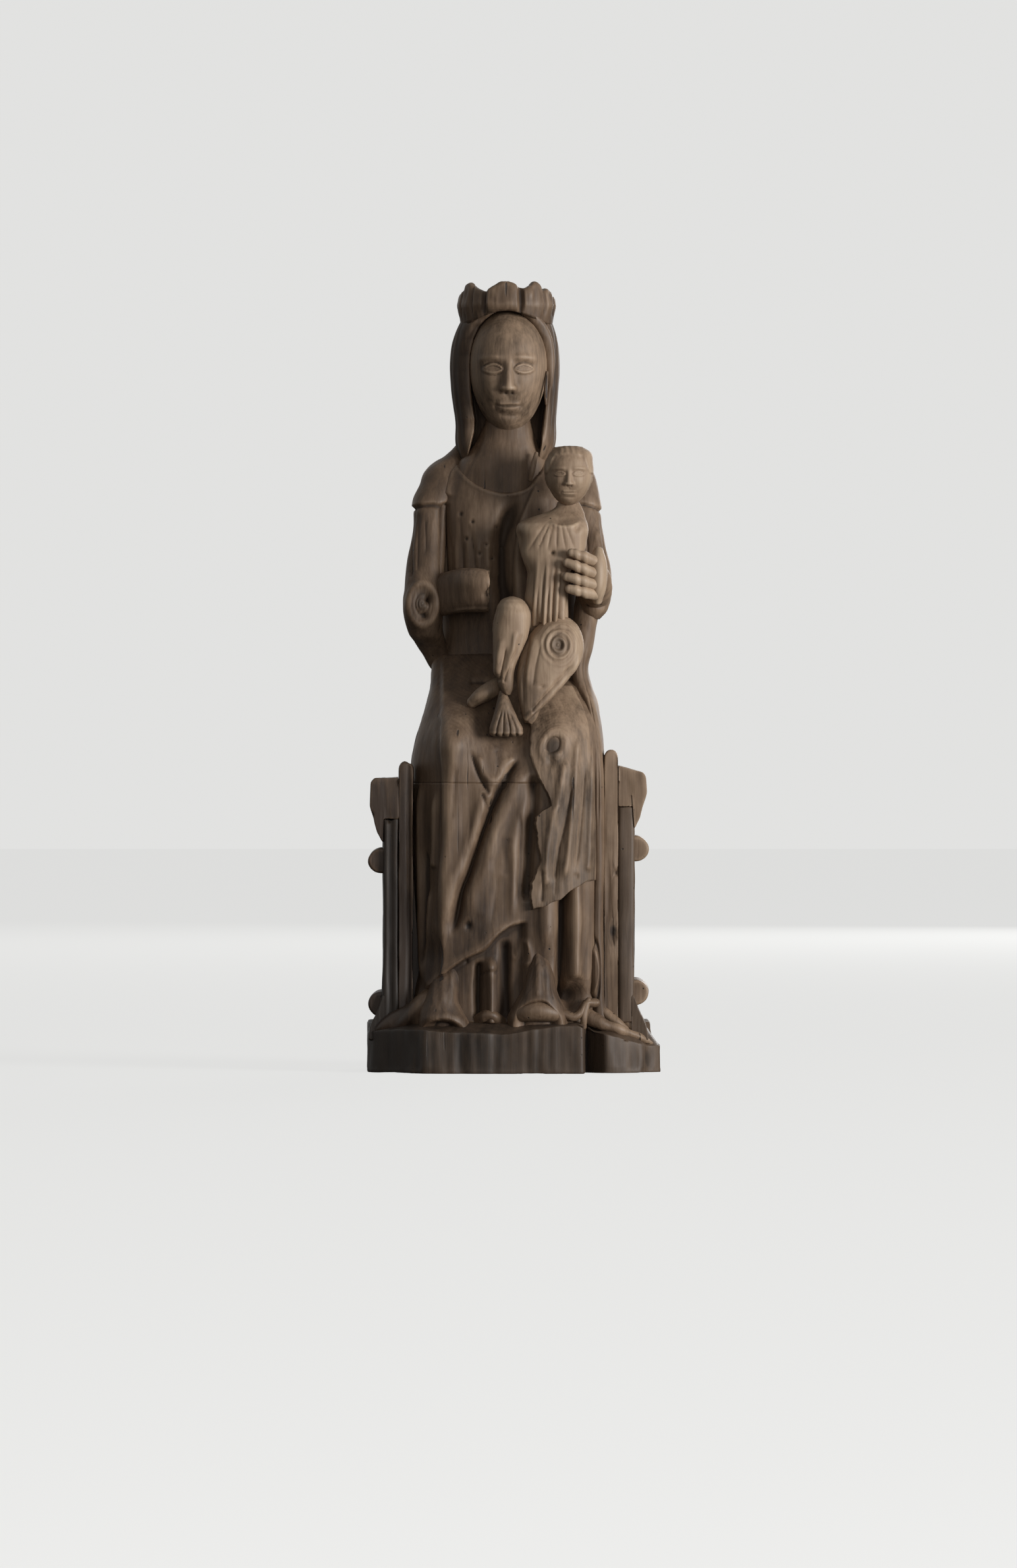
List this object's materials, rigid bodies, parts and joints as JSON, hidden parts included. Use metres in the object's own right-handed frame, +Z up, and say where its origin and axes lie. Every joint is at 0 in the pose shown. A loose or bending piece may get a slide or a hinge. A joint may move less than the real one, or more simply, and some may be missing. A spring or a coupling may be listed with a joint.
{
  "type": "carved wooden statue of an enthroned mother and child",
  "caption": "Wood carving of a crowned woman on a moulded throne with a child on her knee; flat back with an iron hanging plate.",
  "frame": {"origin": "on the ground under the middle of the throne, half way between the flat back and the front of the plinth", "axes": "+Z up, the figure faces -Y and its flat back is towards +Y, +X is the viewer's right"},
  "size_m": [0.294, 0.19, 0.796],
  "materials": {
    "aged_carved_wood": "dry, hand carved, with open grain and worn edges",
    "worn_pale_wood": "rubbed paler by wear",
    "dark_throne_wood": "dark, weathered end grain and hewn faces",
    "forged_iron": "dull forged iron"
  },
  "bodies": {
    "root": {"plinth": "dark_throne_wood", "throne_seat": "dark_throne_wood", "throne_back": "dark_throne_wood", "left_base_moulding": "dark_throne_wood", "right_base_moulding": "dark_throne_wood", "left_side_panel": "dark_throne_wood", "right_side_panel": "dark_throne_wood", "left_lower_roll": "aged_carved_wood", "right_lower_roll": "aged_carved_wood", "left_upper_roll": "aged_carved_wood", "right_upper_roll": "aged_carved_wood", "left_cornice": "aged_carved_wood", "right_cornice": "aged_carved_wood", "left_front_post": "aged_carved_wood", "right_front_post": "aged_carved_wood", "head": "worn_pale_wood", "neck": "worn_pale_wood", "veil": "aged_carved_wood", "crown": "aged_carved_wood", "bodice": "aged_carved_wood", "right_upper_sleeve": "aged_carved_wood", "right_forearm": "aged_carved_wood", "left_upper_sleeve": "aged_carved_wood", "left_forearm": "aged_carved_wood", "left_hand": "worn_pale_wood", "lap": "aged_carved_wood", "robe_skirt": "aged_carved_wood", "mantle_front_fall": "worn_pale_wood", "mantle_side_fall": "aged_carved_wood", "right_foot_hem": "aged_carved_wood", "left_foot_hem": "aged_carved_wood", "child_head": "worn_pale_wood", "child_robe": "worn_pale_wood", "child_right_leg": "worn_pale_wood", "child_left_leg": "worn_pale_wood", "child_feet": "worn_pale_wood", "hanging_plate": "forged_iron"}
  },
  "joints": []
}
